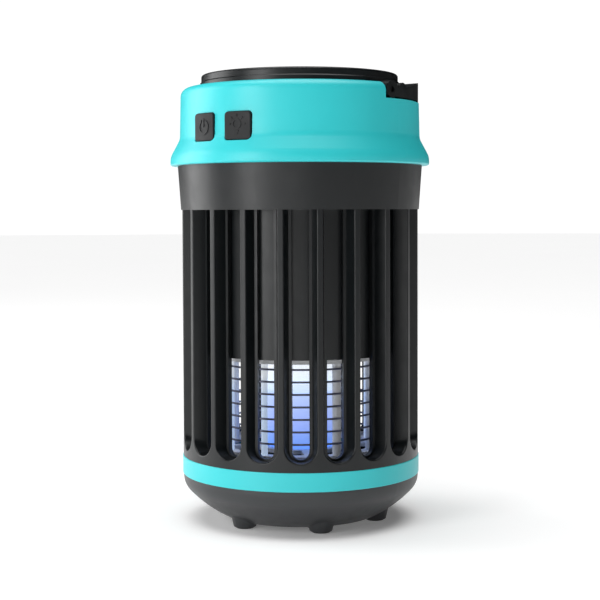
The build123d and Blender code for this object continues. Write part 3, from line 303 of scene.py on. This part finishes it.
# ---------------------------------------------------------------- grid stiffeners
def rod(form, centre, low, high):
    """Adds an upright round rod with bevelled ends to a bmesh."""
    rings = []
    for height, reach in (
        (low, STIFFENER_RADIUS - STIFFENER_BEVEL),
        (low + STIFFENER_BEVEL, STIFFENER_RADIUS),
        (high - STIFFENER_BEVEL, STIFFENER_RADIUS),
        (high, STIFFENER_RADIUS - STIFFENER_BEVEL),
    ):
        ring = []
        for step in range(STIFFENER_SIDES):
            turn = 2 * math.pi * step / STIFFENER_SIDES
            x = centre[0] + reach * math.cos(turn)
            y = centre[1] + reach * math.sin(turn)
            ring.append(form.verts.new((x, y, height)))
        rings.append(ring)
    for lower, upper in zip(rings, rings[1:]):
        for step in range(STIFFENER_SIDES):
            following = (step + 1) % STIFFENER_SIDES
            form.faces.new((lower[step], lower[following], upper[following], upper[step]))
    form.faces.new(list(reversed(rings[0])))
    form.faces.new(rings[-1])


def grid_stiffeners():
    """White rods between the grid's posts, standing just inside the wires."""
    frame_low, frame_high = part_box("grid_frame")
    wires_low, wires_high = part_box("grid_wires_live")
    pitch_radius = (wires_high.x - wires_low.x) / 2 - WIRE_RADIUS - STIFFENER_RADIUS - STIFFENER_GAP
    form = bmesh.new()
    for step in range(STIFFENER_COUNT):
        bearing = math.radians(FIRST_STIFFENER + 360 / STIFFENER_COUNT * step)
        centre = (pitch_radius * math.sin(bearing), -pitch_radius * math.cos(bearing))
        rod(form, centre, frame_low.z, frame_high.z - GRID_RIM_HEIGHT)
    mesh = bpy.data.meshes.new("grid_stiffeners")
    form.to_mesh(mesh)
    form.free()
    for face in mesh.polygons:
        face.use_smooth = len(face.vertices) == 4
    rods = bpy.data.objects.new("grid_stiffeners", mesh)
    bpy.context.scene.collection.objects.link(rods)
    # The rods are white plastic given painted glow, as if lit by the UV tube; they are no lamp.
    mesh.materials.append(rod_painted_glow)
    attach(rods, "housing")


grid_stiffeners()


# ---------------------------------------------------------------- floor, lights and camera
def pale_floor():
    """A plain white floor that runs far past the object."""
    mesh = bpy.data.meshes.new("floor")
    form = bmesh.new()
    bmesh.ops.create_circle(form, cap_ends=True, segments=FLOOR_SEGMENTS, radius=FLOOR_RADIUS)
    form.to_mesh(mesh)
    form.free()
    floor = bpy.data.objects.new("floor", mesh)
    bpy.context.scene.collection.objects.link(floor)
    material, tree, shader = new_material("floor_paint")
    shade = two_tone(tree, noise(tree, FLOOR_NOISE), (0.94, 0.94, 0.94), (0.97, 0.97, 0.97))
    tree.links.new(shade, shader.inputs["Base Color"])
    shader.inputs["Roughness"].default_value = FLOOR_ROUGHNESS
    shader.inputs["Emission Color"].default_value = (1, 1, 1, 1)
    shader.inputs["Emission Strength"].default_value = FLOOR_LIFT
    mesh.materials.append(material)


def softbox(name, bearing, distance, height, size, power):
    """A rectangular area light aimed at the middle of the object; bearing is measured from the front."""
    light = bpy.data.lights.new(name, "AREA")
    light.shape = "RECTANGLE"
    light.size, light.size_y = size
    light.energy = power
    lamp = bpy.data.objects.new(name, light)
    angle = math.radians(bearing)
    lamp.location = (distance * math.sin(angle), -distance * math.cos(angle), height)
    aim = Vector((0, 0, LIGHT_AIM)) - lamp.location
    lamp.rotation_mode = "QUATERNION"
    lamp.rotation_quaternion = aim.to_track_quat("-Z", "Y")
    bpy.context.scene.collection.objects.link(lamp)


def overhead(name, strength, spread_angle):
    """A broad light from straight above, which mostly lights the floor."""
    light = bpy.data.lights.new(name, "SUN")
    light.energy = strength
    light.angle = math.radians(spread_angle)
    lamp = bpy.data.objects.new(name, light)
    bpy.context.scene.collection.objects.link(lamp)


def camera():
    """The camera looks at the object's axis from the right of the front, a little above its middle."""
    data = bpy.data.cameras.new("camera")
    data.lens = CAMERA_LENS
    data.sensor_width = SENSOR_WIDTH
    data.shift_y = -CAMERA_SHIFT
    data.clip_start = CAMERA_NEAR
    view = bpy.data.objects.new("camera", data)
    angle = math.radians(CAMERA_BEARING)
    view.location = (CAMERA_DISTANCE * math.sin(angle), -CAMERA_DISTANCE * math.cos(angle), CAMERA_HEIGHT)
    view.rotation_euler = (math.radians(90 - CAMERA_PITCH), math.radians(CAMERA_ROLL), angle)
    bpy.context.scene.collection.objects.link(view)
    bpy.context.scene.camera = view


def studio_world():
    """A white backdrop to look at, with a black surround that leaves the lighting to the lamps."""
    world = bpy.data.worlds.new("surround")
    world.use_nodes = True
    tree = world.node_tree
    background = tree.nodes["Background"]
    path = tree.nodes.new("ShaderNodeLightPath")
    level = tree.nodes.new("ShaderNodeMapRange")
    level.inputs["To Min"].default_value = SURROUND_LEVEL
    level.inputs["To Max"].default_value = BACKDROP_LEVEL
    tree.links.new(path.outputs["Is Camera Ray"], level.inputs["Value"])
    tree.links.new(level.outputs["Result"], background.inputs["Strength"])
    background.inputs["Color"].default_value = (1, 1, 1, 1)
    bpy.context.scene.world = world


pale_floor()
studio_world()
softbox("key_left", CAMERA_BEARING - 46, distance=0.9, height=0.30, size=(0.34, 0.7), power=3.8)
softbox("edge_left", CAMERA_BEARING - 108, distance=0.9, height=0.30, size=(0.6, 0.7), power=4.8)
softbox("low_fill", CAMERA_BEARING - 20, distance=1.1, height=0.05, size=(1.0, 0.08), power=0.8)
overhead("overhead", strength=2.75, spread_angle=60)
camera()
bpy.context.scene.view_settings.view_transform = "Standard"
